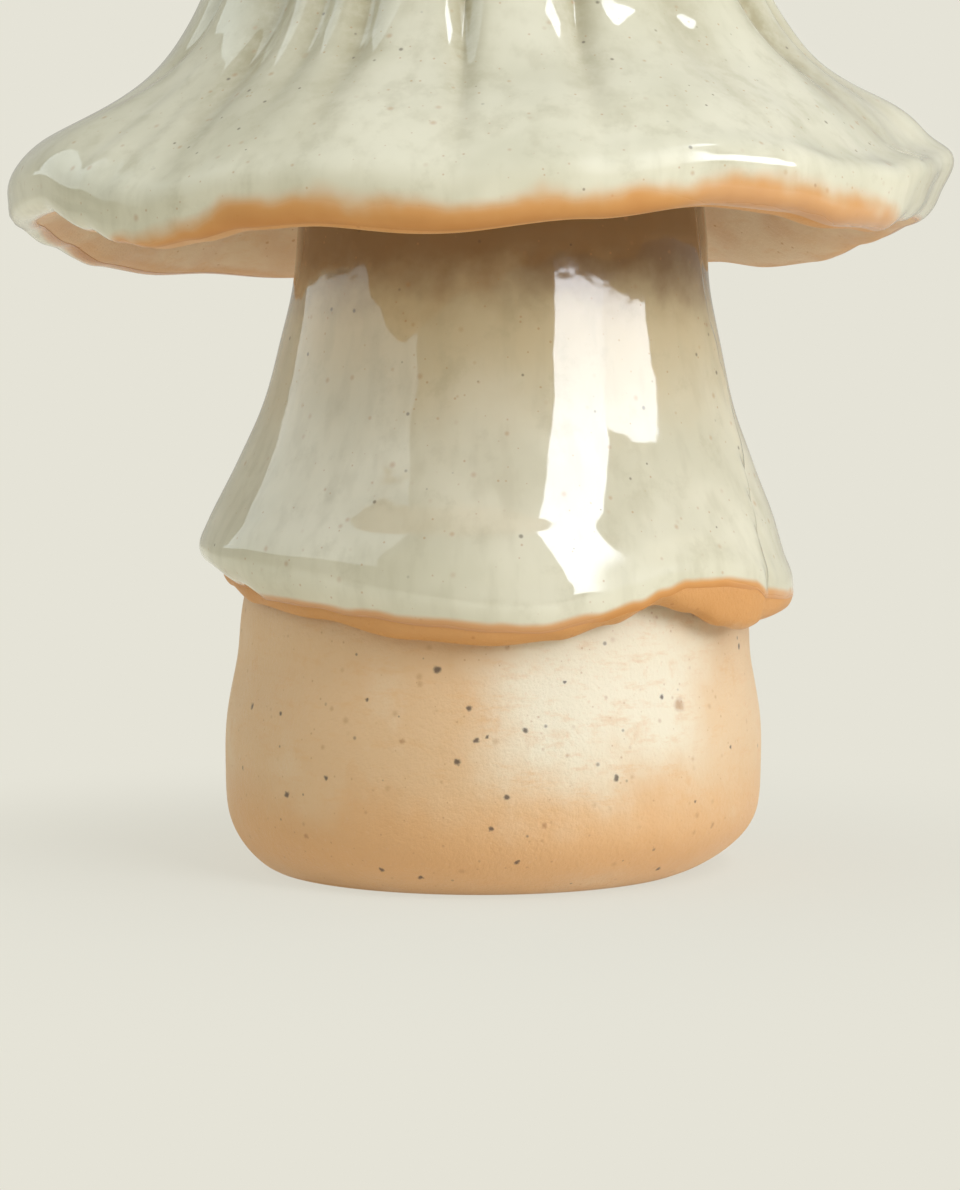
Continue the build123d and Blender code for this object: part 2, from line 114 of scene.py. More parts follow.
# How far the glaze reaches round the lip, and how much further at the brim's noses
glaze_reach = 2.2
nose_reach = 0.9
nose_shares = [
    (-180, 0.1), (-120, 0.2), (-92, 0.5), (-70, 0.3), (-52, 0.1), (-40, 0.0), (0, 0.0), (35, 0.2), (50, 0.5),
    (60, 0.8), (75, 1.0), (95, 1.0), (115, 0.3), (150, 0.0),
]
# How often the cap's rows are eased into their neighbours, and at the brim's noses
few_passes = 1
many_passes = 14

# Dents pressed by hand: seed, count, range of widths and range of depths
bell_dents = (11, 90, (3.0, 8.0), (0.05, 0.28))
lip_dents = (31, 70, (2.5, 6.0), (0.1, 0.5))
stem_dents = (5, 60, (3.0, 7.0), (0.04, 0.16))
bulb_dents = (23, 50, (3.0, 8.0), (0.04, 0.18))

# How orange the clay and the thin glaze turn along the brim
toast_shares = [
    (-180, 0.8), (-130, 0.7), (-100, 0.35), (-75, 0.2), (-52, 0.25), (-38, 0.7), (-25, 1.0), (20, 1.0),
    (45, 1.2), (56, 0.9), (66, 0.3), (92, 0.2), (115, 0.6), (150, 0.9),
]
least_toast = 0.05

# How much wider the pooled glaze is than its furrow, over which height shares of the bell, and how
# wide the darker line along the seam is, in degrees
pool_width = 1.5
pool_height_shares = (0.04, 0.98)
seam_line_width = 1.6

# Where the glaze near its end is satin in place of glossy: how far up, and shares round the axis
cap_satin_reach = 17.0
cap_satin_fade = 12.0
cap_satin_shares = [(-60, 0.0), (-35, 1.0), (20, 1.0), (27, 0.0), (45, 0.0)]
stem_satin_reach = 5.5
stem_satin_fade = 2.5
stem_satin_shares = [(-60, 0.0), (15, 0.0), (23, 1.0), (44, 1.0), (58, 0.0)]

# Points round every piece, and rows down its faces and down parts of them
column_count = 480
bell_count = 150
lip_count = 130
coat_count = 170
land_count = 8
dome_count = 30
tube_count = 40
skirt_count = 140
skirt_lip_count = 30
skirt_inner_count = 12
tube_inner_count = 16
bulb_count = 150
bulb_inner_count = 40
# One row in so many on the hidden back of a coat, and rows of the lip that the dents leave out
back_step = 4
plain_lip_rows = 8
# Rows of the lip that the glaze can reach, and rows of the bulb's outer face
coated_lip_rows = 40
bulb_face_rows = slice(3, 120)
angles = np.linspace(-180, 180, column_count, endpoint=False)
# Height share over which the bell's slope is measured, and the bend that shows as a sharp edge
slope_step = 0.02
sharp_angle = 50

# Cap outside, crown to glaze line: shares of the cap's radius and height, and how much of the
# brim's wave, the furrows, the brim's curl and the tuck under its nose each row takes
cap_outer_shares = [
    (0.180, 0.984, 0.00, 0.10, 0.0, 0.0),
    (0.290, 0.937, 0.00, 0.40, 0.0, 0.0),
    (0.386, 0.861, 0.00, 0.75, 0.0, 0.0),
    (0.462, 0.766, 0.00, 0.95, 0.0, 0.0),
    (0.518, 0.653, 0.00, 1.00, 0.0, 0.0),
    (0.553, 0.535, 0.00, 1.00, 0.0, 0.0),
    (0.592, 0.418, 0.00, 1.00, 0.2, 0.0),
    (0.644, 0.325, 0.10, 0.95, 0.5, 0.0),
    (0.712, 0.255, 0.25, 0.75, 0.8, 0.0),
    (0.794, 0.200, 0.50, 0.45, 0.9, 0.0),
    (0.880, 0.152, 0.75, 0.25, 0.2, 0.0),
    (0.949, 0.109, 0.92, 0.10, -0.3, 0.0),
    (0.992, 0.067, 1.00, 0.05, 1.0, -0.8),
    (0.985, 0.032, 1.00, 0.00, 0.7, 0.5),
]
# Rolled lip below the glaze line: inset and height in shares of the brim's wall, and how much of the
# brim's curl and of the tuck under its nose
lip_shares = [(0.20, 0.105, 0.3, 1.0), (0.52, 0.0, 0.0, 0.4), (0.90, 0.14, 0.0, 0.0)]
# Inside of the cap up to the stem's joint: height, how much of the brim's wall there is left, and how
# much wider the sloping wall measures across
cap_inner_shares = [
    (0.14, 1.00, 1.28), (0.27, 0.85, 1.32), (0.41, 0.45, 1.22), (0.56, 0.15, 1.12), (0.72, 0.0, 1.08),
    (0.88, 0.0, 1.06),
]
dome_inner_shares = [(0.30, 1.05), (0.62, 1.20), (1.0, 1.62)]
dome_top_share = 0.88
inner_furrow_share = 0.5
furrow_turn_shares = (0.52, 0.07)

# Furrows pressed down the bell: angle on the bell and at the brim, and shares of depth and width
furrow_rows = [
    (-62, -62, 0.6, 0.8), (-43, -39, 1.1, 1.25), (-31, -29, 0.8, 0.8), (-21, -21, 1.0, 0.9),
    (-4, -3, 1.1, 0.65), (18.5, 13, 0.9, 0.75), (34, 36, 0.6, 1.2), (57, 68, 1.2, 1.4),
    (74, 80, 0.8, 0.9), (88, 90, 1.0, 1.0), (103, 104, 0.8, 1.1), (121, 120, 1.1, 0.9),
    (140, 142, 0.7, 1.2), (157, 155, 1.0, 0.9), (174, 174, 1.1, 1.1), (-170, -168, 0.7, 0.8),
    (-152, -154, 1.0, 1.2), (-134, -132, 0.8, 0.9), (-117, -119, 1.1, 1.1), (-100, -104, 0.9, 0.9),
    (-82, -88, 1.0, 1.0),
]

# Height of the brim's edge round the cap, in shares of the brim's wave
brim_wave_shares = [
    (-176, -0.33), (-160, -0.62), (-148, -0.71), (-138, -0.62), (-128, -0.76), (-116, -0.52),
    (-104, 0.12), (-90, 0.57), (-75, 0.57), (-62, 0.67), (-52, -0.17), (-46, -0.76), (-41, -1.0),
    (-35, -0.81), (-28, -0.48), (-19, -0.33), (-4, -0.62), (12, -0.19), (27, 0.33), (37, 0.24),
    (47, -0.14), (57, -0.14), (66, 0.35), (80, 0.68), (98, 0.62), (112, 0.22), (124, -0.36),
    (134, -0.48), (144, -0.14), (158, 0.05), (170, -0.19),
]
# Where the lip's nose droops or rises, in shares of the brim's curl
brim_curl_shares = [
    (-100, -0.69), (-60, -0.15), (-30, 0.15), (0, 0.0), (30, 0.23), (60, 0.62), (90, 1.0),
    (120, 0.77), (160, 0.15), (-150, -0.23),
]
# Reach of the brim round the cap, in shares of the brim's spread
brim_spread_shares = [
    (-90, 0.50), (-60, 0.30), (-30, 0.0), (0, -0.25), (30, -0.50), (55, -0.80), (75, -1.10), (92, -0.20),
    (120, -0.20), (150, 0.20), (180, 0.35), (-150, 0.50), (-120, 0.60),
]
# Where the brim's nose is drawn out and its underside tucked in, in shares of the brim's tuck
brim_tuck_shares = [(45, 0.0), (70, 0.8), (90, 1.0), (108, 0.7), (130, 0.0), (-90, 0.0)]

# Where the brim swells behind the fold at the right: by angle, then reach, height and rise
brim_swell_shares = [(72, 0.0), (89, 1.0), (104, 1.0), (135, 0.0), (-90, 0.0)]
swell_rows = [
    (0.0, 0.418, 0.0), (0.25, 0.325, 0.0), (0.22, 0.255, 0.0), (0.20, 0.200, 0.15), (0.75, 0.152, 0.45),
    (0.55, 0.109, 0.72), (0.0, 0.067, 0.05), (0.0, 0.032, 0.0),
]

# Stem skirt outside, below and above the brim: height, and flare from stem to skirt radius
skirt_outer_shares = [
    (1.0, 0.145), (0.854, 0.192), (0.740, 0.285), (0.653, 0.358), (0.536, 0.478), (0.442, 0.615),
    (0.351, 0.752), (0.266, 0.890), (0.182, 0.985),
]
stem_above_shares = [(0.75, 0.02), (0.50, 0.05), (0.25, 0.09)]
# Lean of the stem towards +X, by height above the skirt's level
stem_lean_shares = [(1.0, 1.0), (0.62, 0.62), (0.22, -0.45), (0.0, -0.10)]
# Glaze line and bare edge of the skirt, in shares of the skirt's wave above its level
skirt_glaze_shares = [
    (-180, 1.0), (-150, 1.74), (-125, 1.32), (-105, 2.05), (-92, 2.42), (-80, 2.10), (-62, 1.42),
    (-52, 0.95), (-38, 0.79), (-27, 0.53), (-12, 0.21), (0, 0.0), (8, -0.05), (19, 0.37),
    (27, 0.79), (33, 1.32), (38, 1.63), (47, 1.63), (56, 1.42), (60, 1.0), (75, 0.79), (90, 0.74),
    (120, 0.37), (150, 0.68),
]
skirt_edge_shares = [
    (-180, 0.26), (-150, 0.89), (-125, 0.58), (-105, 1.21), (-90, 1.53), (-75, 1.32), (-60, 0.74),
    (-38, 0.32), (-17, -0.37), (0, -0.58), (12, -0.37), (23, 0.21), (33, 0.95), (41, 0.58),
    (50, -0.05), (56, -0.26), (63, -0.05), (80, 0.05), (110, -0.37), (150, -0.05),
]
# Reach of the skirt's edge, in shares of the skirt's spread
skirt_spread_shares = [
    (-180, -0.4), (-130, -0.7), (-95, -1.1), (-75, -1.4), (-58, -1.5), (-40, -1.2), (-20, -0.6),
    (0, -0.2), (40, 0.3), (65, 0.8), (90, 1.05), (140, 0.2),
]
# Fullness of the skirt's front, which flares later than its sides: by height share, and by angle
front_height_shares = [
    (1.0, 0.40), (0.854, 0.25), (0.740, -0.20), (0.653, -0.42), (0.536, -0.65), (0.442, -0.95),
    (0.351, -1.0), (0.266, -0.90), (0.182, -0.45), (0.0, 0.0),
]
front_angle_shares = [(-90, 0.0), (-62, 0.75), (-40, 1.0), (35, 1.0), (60, 0.55), (85, 0.0), (180, 0.0)]
skirt_lip_shares = [(0.18, 0.14), (0.55, 0.0)]
skirt_inside_share = 0.25
skirt_inner_shares = [(0.44, 0.14), (0.65, 0.41), (0.86, 0.78)]
tube_inner_shares = [(0.35, 0.12), (0.75, 0.35), (1.0, 0.70)]

# Foot bulb outside, in shares of the skirt's level
bulb_shares = [
    (0.085, 0.007), (0.270, 0.030), (0.590, 0.090), (0.790, 0.148), (0.920, 0.210), (0.980, 0.281),
    (1.0, 0.395), (1.0, 0.505),
]
waist_shares = [(0.17, 0.624), (0.54, 0.743), (0.875, 0.857), (1.0, 0.967)]
shoulder_shares = [(0.12, 0.20), (0.42, 0.52), (0.80, 0.84)]
heel_inside_share = 1.4
# Rows across the foot's underside, from its middle outwards, and across the floor inside, inwards
sole_shares = (0.02, 0.5, 0.9)
floor_shares = (0.5, 0.02)


def blend(low, high, share):
    return low + (high - low) * share


def around(shares, places=angles):
    """Value of a table of (angle, share) pairs at each angle, joined smoothly right round."""
    pairs = np.array(sorted(shares), float)
    knots = np.concatenate([pairs[:, 0] - 360, pairs[:, 0], pairs[:, 0] + 360])
    values = np.tile(pairs[:, 1], 3)
    low = np.searchsorted(knots, places, side="right") - 1
    part = (places - knots[low]) / (knots[low + 1] - knots[low])
    return blend(values[low], values[low + 1], part**2 * (3 - 2 * part))


def turn_between(angle, centre):
    return (angle - centre + 180) % 360 - 180


def spline(places, values, at):
    """Natural cubic curve through rows of values at rising places."""
    gaps = np.diff(places)
    slopes = np.diff(values, axis=0) / gaps[:, None]
    system = np.eye(len(places))
    for k in range(1, len(places) - 1):
        system[k, k - 1:k + 2] = gaps[k - 1], 2 * (gaps[k - 1] + gaps[k]), gaps[k]
    bends = np.zeros_like(values)
    bends[1:-1] = 6 * np.diff(slopes, axis=0)
    bends = np.linalg.solve(system, bends)
    k = np.clip(np.searchsorted(places, at, side="right") - 1, 0, len(places) - 2)
    step = (at - places[k])[:, None]
    gap = gaps[k][:, None]
    start_slope = slopes[k] - gap * (2 * bends[k] + bends[k + 1]) / 6
    change = (bends[k + 1] - bends[k]) / (6 * gap)
    return values[k] + step * start_slope + step**2 * bends[k] / 2 + step**3 * change


def finer(rows, count, smooth=True):
    """Evenly spaced rows along a run of rows, which are grids of points round the axis."""
    rows = np.array(rows, float)
    lengths = np.linalg.norm(np.diff(rows, axis=0), axis=2).mean(axis=1)
    places = np.concatenate([[0], np.cumsum(lengths)])
    at = np.linspace(0, places[-1], count)
    flat = rows.reshape(len(rows), -1)
    if smooth:
        made = spline(places, flat, at)
    else:
        made = np.stack([np.interp(at, places, column) for column in flat.T], axis=1)
    return made.reshape(count, *rows.shape[1:])


def ring(radius, height, shift=0.0):
    """Points round the axis, from radius and height at each angle."""
    turn = np.radians(angles)
    radius = np.broadcast_to(radius, angles.shape)
    height = np.broadcast_to(height, angles.shape)
    return np.stack([radius * np.sin(turn) + shift, -radius * np.cos(turn), height], axis=1)


def normals_of(grid):
    """Unit normals of a grid of points closed round the axis, away from the axis on average."""
    down = np.gradient(grid, axis=0)
    across = np.roll(grid, -1, axis=1) - np.roll(grid, 1, axis=1)
    normal = np.cross(across, down)
    normal /= np.maximum(np.linalg.norm(normal, axis=2, keepdims=True), 1e-9)
    outward = (normal[..., :2] * grid[..., :2]).sum()
    return normal if outward > 0 else -normal


def dented(grid, seed, count, widths, depths):
    """Grid of points of an outer face with shallow hand-made dents pressed into it."""
    pick = np.random.default_rng(seed)
    pressed = np.zeros(grid.shape[:2])
    for _ in range(count):
        centre = grid[pick.integers(grid.shape[0]), pick.integers(grid.shape[1])]
        away = ((grid - centre) ** 2).sum(axis=2) / pick.uniform(*widths) ** 2
        pressed = np.maximum(pressed, pick.uniform(*depths) * np.exp(-away))
    return grid - normals_of(grid) * pressed[..., None]


def softened(grid, passes):
    """Grid whose rows are eased into their neighbours, with the first and last kept."""
    for _ in range(passes):
        grid = np.concatenate([grid[:1], (grid[:-2] + 2 * grid[1:-1] + grid[2:]) / 4, grid[-1:]])
    return grid


def way_down(grid):
    """Way along each column from the first row, in millimetres."""
    steps = np.linalg.norm(np.diff(grid, axis=0), axis=2)
    return np.concatenate([np.zeros((1, grid.shape[1])), np.cumsum(steps, axis=0)])


def cut_to(grid, lengths, count):
    """Evenly spaced rows from the first row down to a length along each column."""
    ways = way_down(grid)
    made = np.empty((count, *grid.shape[1:]))
    for column in range(grid.shape[1]):
        at = np.linspace(0, lengths[column], count)
        for axis in range(3):
            made[:, column, axis] = np.interp(at, ways[:, column], grid[:, column, axis])
    return made


def along(rows, place, column, height_column=1):
    """One column of a falling table at height shares, joined by straight runs."""
    table = np.array(rows)[::-1]
    return float(np.interp(place, table[:, height_column], table[:, column]))


# Cap

# How the brim waves, curls, spreads, tucks in and swells at each angle
brim_waves = brim_wave * around(brim_wave_shares)
brim_curls = brim_curl * around(brim_curl_shares)
brim_spreads = brim_spread * around(brim_spread_shares)
brim_tucks = brim_tuck * around(brim_tuck_shares)
brim_swells = brim_swell * around(brim_swell_shares)


def furrow(radius, height_share):
    """Share of the furrows' depth at each angle of a row of the bell."""
    start, end = furrow_turn_shares
    drift = np.clip((start - height_share) / (start - end), 0, 1)
    width = math.degrees(furrow_width / radius)
    return np.max([deep * np.exp(-(turn_between(angles, blend(bell, brim, drift)) / (wide * width)) ** 2)
                   for bell, brim, deep, wide in furrow_rows], axis=0)


def furrow_pool(grid):
    """How deep the glaze pools in the furrows, at each point of a grid."""
    pool = np.zeros(grid.shape[:2])
    for k, row in enumerate(grid):
        share = float(np.clip((row[:, 2].mean() - brim_level) / cap_height, *pool_height_shares))
        radius = cap_radius * along(cap_outer_shares, share, 0) / pool_width
        pool[k] = np.clip(furrow(radius, share) * along(cap_outer_shares, share, 3), 0, 1)
    return pool


def cap_shift_at(height_share):
    return cap_shift * min(2 - 2 * height_share, 1)


def cap_slope(height_share):
    """Change of the bell's radius with height, which is negative where it flares."""
    high = min(height_share + slope_step, cap_outer_shares[0][1])
    low = max(height_share - slope_step, cap_outer_shares[-1][1])
    change = along(cap_outer_shares, high, 0) - along(cap_outer_shares, low, 0)
    return cap_radius * change / ((high - low) * cap_height)


def cap_row(row, under):
    """Row of the bell at a depth under the face of its glaze."""
    reach_share, height_share, wave, groove, curl, tuck = row
    radius = cap_radius * reach_share
    slope = cap_slope(height_share)
    inward = under / math.hypot(1, slope)
    spread = wave * brim_spreads - tuck * brim_tucks + along(swell_rows, height_share, 0) * brim_swells
    lift = wave * brim_waves + curl * brim_curls + along(swell_rows, height_share, 2) * brim_swells
    depth = groove * furrow_depth * furrow(radius, height_share)
    height = brim_level + cap_height * height_share + lift + inward * slope
    return ring(radius + spread - depth - inward, height, cap_shift_at(height_share))


def bell_rows(under, count):
    """Even rows down the bell, from the crown's land to the glaze line."""
    table = np.array(cap_outer_shares)
    lengths = np.hypot(np.diff(table[:, 0]) * cap_radius, np.diff(table[:, 1]) * cap_height)
    places = np.concatenate([[0], np.cumsum(lengths)])
    shares = spline(places, table, np.linspace(0, places[-1], count))
    return np.array([cap_row(row, under) for row in shares])


def lip_row(inset_share, height_share, curl, tuck):
    radius = cap_radius - inset_share * brim_wall + brim_spreads - tuck * brim_tucks
    height = brim_level + height_share * brim_wall + brim_waves + curl * brim_curls
    return ring(radius, height, cap_shift)


def cap_inner_row(height_share, wall_across, ripple=inner_furrow_share):
    wave = along(cap_outer_shares, height_share, 2)
    groove = ripple * along(cap_outer_shares, height_share, 3)
    mean_radius = cap_radius * along(cap_outer_shares, height_share, 0)
    radius = mean_radius - glaze_thickness - wall_across
    depth = groove * furrow_depth * furrow(radius, height_share)
    height = brim_level + cap_height * height_share + wave * brim_waves
    return ring(radius + wave * brim_spreads - depth, height, cap_shift_at(height_share))


crown_top = brim_level + cap_height
joint_share = (joint_top - brim_level) / cap_height
seat_radius = stem_radius + slip_thickness


def cap_faces():
    """Clay bell's outer face, then its lip and inside up to the stem's joint."""
    bell = dented(bell_rows(glaze_thickness, bell_count), *bell_dents)
    crown = finer([ring(crown_land_radius, crown_top), bell[0]], land_count, smooth=False)
    outer = np.concatenate([crown[:-1], bell])
    low_share = (joint_bottom - brim_level) / cap_height
    inner = [cap_inner_row(up * low_share, blend(cap_wall, brim_wall, brim) * across)
             for up, brim, across in cap_inner_shares]
    lip = [lip_row(*row) for row in lip_shares]
    lip = finer([outer[-1]] + lip + inner + [ring(seat_radius, joint_bottom)], lip_count)
    lip[plain_lip_rows:] = dented(lip, *lip_dents)[plain_lip_rows:]
    face = np.concatenate([outer, lip[1:]])
    face = blend(softened(face, few_passes), softened(face, many_passes), around(nose_shares)[:, None])
    return face[:len(outer)], face[len(outer) - 1:]


def cap_clay(outer, lip):
    """Clay bell: under the glaze, round the lip, up the inside and through the hanging hole."""
    dome = [cap_inner_row(blend(joint_share, dome_top_share, up), cap_wall * across, 0.0)
            for up, across in dome_inner_shares]
    crown_inner = ring(crown_land_radius, crown_top - crown_wall)
    dome = finer([ring(seat_radius, joint_top)] + dome + [crown_inner], dome_count)
    hole = hole_diameter / 2
    crown = [
        ring(hole + edge_round, crown_top - crown_wall),
        ring(hole, crown_top - crown_wall + edge_round),
        ring(hole, crown_top - edge_round),
        ring(hole + edge_round * round_share, crown_top - edge_round * round_share),
        ring(hole + edge_round, crown_top),
    ]
    return np.concatenate([outer, lip[1:], dome, crown])


def coat_over(face, lengths, count):
    """Glaze over a face, down to a length along each column, rolled and then thinned at its end."""
    under = cut_to(face, lengths, count)
    normals = normals_of(under)
    left = lengths - way_down(under)
    thin = np.clip(left / edge_taper, 0, 1)
    thickness = blend(glaze_feather, glaze_thickness, 1 - (1 - thin) ** 2)
    thickness += glaze_roll * np.exp(-((left - roll_place) / roll_width) ** 2)
    outer = under + normals * thickness[..., None]
    back = (under - normals * glaze_back)[::-back_step]
    return outer, back, np.concatenate([left, left[::-back_step]])


def cap_coat(outer, lip):
    """Glaze over the bell, from the crown's land to where it breaks, further round at the noses."""
    face = np.concatenate([outer, lip[1:coated_lip_rows]])
    lengths = way_down(outer)[-1] + glaze_reach + nose_reach * around(nose_shares)
    over, back, left = coat_over(face, lengths, coat_count)
    rim = [ring(crown_land_radius, crown_top - glaze_back),
           ring(crown_land_radius, crown_top + glaze_thickness * rim_share),
           ring(crown_land_radius + edge_round, crown_top + glaze_thickness)]
    grid = np.concatenate([rim[1:], over[2:], back[:-1], rim[:1]])
    left = np.concatenate([left[:2], left[2:-1], left[:1]])
    return grid, left


def satin_at(left, reach, fade, shares):
    """How satin the glaze is, from the way left to its end and the angle round the axis."""
    near = np.clip((reach - left) / fade, 0, 1)
    return near**2 * (3 - 2 * near) * around(shares)


# Stem

def skirt_share(height):
    return (height - skirt_level) / (brim_level - skirt_level)


def seam_turn(height, edge=0.0):
    """Turn of each column from the lapped seam, or from a line beside it, at a height or heights."""
    places, drifts = zip(*lap_drift)
    return turn_between(angles, lap_angle + np.interp(skirt_share(height), places, drifts) + edge)


def lap(height):
    """Rise of the lapped seam: the front edge of the slab stands proud, the rear edge is tucked."""
    turn = seam_turn(height)
    proud = lap_step * np.exp(-(turn / lap_ramp_angle) ** 2)
    tucked = -lap_tuck * np.exp(-((turn - lap_face_angle) / lap_tuck_angle) ** 2)
    step = np.clip(turn / lap_face_angle, 0, 1)
    return blend(proud, tucked, step)


def seam_dark_line(grid):
    """How dark the glaze turns along the foot of the lapped seam, at each point of a grid."""
    return np.exp(-(seam_turn(grid[..., 2], lap_face_angle) / seam_line_width) ** 2)


def lean_at(height):
    """Sideways lean of the stem, which stands upright again at its joint in the cap."""
    if height >= brim_level:
        return stem_lean * max(joint_bottom - height, 0) / (joint_bottom - brim_level)
    return stem_lean * along(stem_lean_shares, skirt_share(height), 1, 0)


def flare_radius(flare):
    return blend(stem_radius, skirt_radius - glaze_thickness, flare)


def fullness_at(height):
    """How far the front stands out from a round skirt, fading out above the brim's level."""
    above = max(height - brim_level, 0) / (joint_bottom - brim_level)
    return front_fullness * along(front_height_shares, skirt_share(height), 1, 0) * (1 - above)


def stem_row(radius, height):
    lapped = min(max((brim_level + brim_wall - height) / (2 * brim_wall), 0), 1)
    full = fullness_at(height) * around(front_angle_shares)
    return ring(radius + lapped * lap(height) + full, height, lean_at(height))


def skirt_edge_row(height_shares, inset_share=0.0, lift_share=0.0):
    reach = skirt_spread * around(skirt_spread_shares) + lap(skirt_level)
    radius = blend(flare_radius(1) + reach, inside_radius, inset_share)
    height = skirt_level + lift_share * stem_wall + skirt_wave * around(height_shares)
    return ring(radius, height, lean_at(skirt_level))


def stem_face():
    """Clay's outer face from the stem's joint down to the glaze line."""
    tube = [stem_row(flare_radius(flare), blend(brim_level, joint_bottom, up))
            for up, flare in stem_above_shares + [(0.0, skirt_outer_shares[0][1])]]
    skirt = [stem_row(flare_radius(flare), blend(skirt_level, brim_level, up))
             for up, flare in skirt_outer_shares]
    skirt.append(skirt_edge_row(skirt_glaze_shares))
    tube = finer([ring(stem_radius, joint_bottom)] + tube, tube_count, smooth=False)
    face = np.concatenate([tube[:-1], finer(skirt, skirt_count)])
    return dented(face, *stem_dents)


def skirt_clay(face):
    """Clay tube and skirt: down the outside, round the rolled edge and up the inside."""
    inside = ring(inside_radius, skirt_level + skirt_inside_share * stem_wall
                  + skirt_wave * around(skirt_edge_shares))
    edge = [skirt_edge_row(skirt_edge_shares, inset, up) for inset, up in skirt_lip_shares]
    edge = finer([face[-1]] + edge + [inside], skirt_lip_count)
    narrow_radius = flare_radius(along(skirt_outer_shares, skirt_share(neck_bottom), 1, 0)) - stem_wall
    inner = [inside]
    for up, narrow in skirt_inner_shares + [(1.0, 1.0)]:
        height = blend(skirt_level, neck_bottom, up)
        inner.append(ring(blend(inside_radius, narrow_radius, narrow), height, lean_at(height)))
    inner = finer(inner, skirt_inner_count, smooth=False)
    neck_seat = neck_radius + slip_thickness
    tube = [ring(neck_seat, neck_top, lean_at(neck_bottom))]
    for narrow, up in tube_inner_shares:
        height = blend(neck_top, joint_top, up)
        tube.append(ring(blend(neck_seat, stem_radius - stem_wall, narrow), height, lean_at(height)))
    tube.append(ring(stem_radius - stem_wall, joint_top))
    tube = finer(tube, tube_inner_count)
    seat = [ring(neck_seat, neck_bottom, lean_at(neck_bottom))]
    return np.concatenate([[ring(stem_radius, joint_top)], face, edge[1:], inner[1:], seat, tube])


# Foot

def bulb_rows(inset, foot_height):
    """Rows of the bulb from just above its foot to its shoulder, moved in by a wall."""
    rows = []
    for reach, up in bulb_shares:
        rows.append((blend(foot_radius, belly_radius, reach), up * skirt_level, foot_shift * (1 - reach)))
    for narrow, up in waist_shares:
        rows.append((blend(belly_radius, waist_radius, narrow), up * skirt_level, 0.0))
    for narrow, up in shoulder_shares:
        height = blend(skirt_level, neck_bottom, up)
        rows.append((blend(waist_radius, neck_radius, narrow), height, lean_at(height)))
    return [ring(radius - inset, height, shift) for radius, height, shift in rows if height > foot_height]


def bulb_clay():
    """Hollow bulb: flat foot, rounded heel, belly, shoulder and a neck that opens upwards."""
    lean = lean_at(neck_bottom)
    sole = [ring(foot_radius * share, 0.0, foot_shift) for share in sole_shares]
    outer = [ring(foot_radius, 0.0, foot_shift), *bulb_rows(0.0, 0.0), ring(neck_radius, neck_bottom, lean)]
    outer = finer(outer, bulb_count)
    outer[1:] = dented(outer, *bulb_dents)[1:]
    neck = [ring(neck_radius, neck_top, lean), ring(neck_radius - bulb_wall, neck_top, lean)]
    inner = bulb_rows(bulb_wall, foot_wall * heel_inside_share)
    inner.insert(0, ring(foot_radius - bulb_wall, foot_wall, foot_shift))
    inner.append(ring(neck_radius - bulb_wall, neck_bottom, lean))
    inner = finer(inner, bulb_inner_count)[::-1]
    middle = [ring((foot_radius - bulb_wall) * share, foot_wall, foot_shift) for share in floor_shares]
    return np.concatenate([sole, outer, neck, inner, middle])


# Meshes

def put_in(name, data):
    """New object of the scene from a mesh, lamp or camera."""
    made = bpy.data.objects.new(name, data)
    bpy.context.scene.collection.objects.link(made)
    return made


def make_piece(name, grid, node, material, attributes=None, poles=False):
    """Closed mesh from rows of points: down the outside and joined end to end, or up it between poles."""
    rows, columns = grid.shape[:2]
    points = grid.reshape(-1, 3) * MM
    number = np.arange(rows * columns).reshape(rows, columns)
    if not poles:
        number = np.concatenate([number, number[:1]])
    here, below = number[:-1], number[1:]
    faces = np.stack([here, below, np.roll(below, -1, axis=1), np.roll(here, -1, axis=1)], axis=2)
    faces = faces.reshape(-1, 4).tolist()
    if poles:
        ends = np.array([grid[0].mean(axis=0), grid[-1].mean(axis=0)]) * MM
        points = np.concatenate([points, ends])
        first, last = len(points) - 2, len(points) - 1
        for k in range(columns):
            after = (k + 1) % columns
            faces.append([int(number[0, k]), int(number[0, after]), first])
            faces.append([int(number[-1, after]), int(number[-1, k]), last])
    mesh = bpy.data.meshes.new(name)
    mesh.from_pydata(points.tolist(), [], faces)
    if poles:
        mesh.flip_normals()
    mesh.shade_smooth()
    mesh.set_sharp_from_angle(angle=math.radians(sharp_angle))
    for label, values in (attributes or {}).items():
        data = mesh.attributes.new(label, "FLOAT", "POINT")
        filled = np.zeros(len(points), np.float32)
        filled[:rows * columns] = np.asarray(values, np.float32).reshape(-1)
        data.data.foreach_set("value", filled)
    mesh.materials.append(material)
    piece = put_in(name, mesh)
    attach(piece, "root")
    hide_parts(node)


# Material nodes

def add(tree, kind, inputs=None, **settings):
    """New node with its settings and inputs: an input is a value or another node's output."""
    made = tree.nodes.new("ShaderNode" + kind)
    for name, value in settings.items():
        setattr(made, name, value)
    for socket, value in (inputs or {}).items():
        if isinstance(value, bpy.types.NodeSocket):
            tree.links.new(value, made.inputs[socket])
        else:
            made.inputs[socket].default_value = value
    return made


def calc(tree, operation, *values):
    return add(tree, "Math", dict(enumerate(values)), operation=operation).outputs[0]


def eased(tree, value, low, high, to_low=0.0, to_high=1.0):
    """Value eased from one range to another."""
    inputs = {"Value": value, "From Min": low, "From Max": high, "To Min": to_low, "To Max": to_high}
    return add(tree, "MapRange", inputs, interpolation_type="SMOOTHSTEP").outputs["Result"]


def mixed(tree, share, first, second):
    """Colour between two colours, each a colour or a node's output."""
    inputs = {"Factor": share}
    for socket, value in ((6, first), (7, second)):
        inputs[socket] = value if isinstance(value, bpy.types.NodeSocket) else (*value, 1)
    return add(tree, "Mix", inputs, data_type="RGBA").outputs[2]


def place(tree):
    return add(tree, "TexCoord").outputs["Object"]


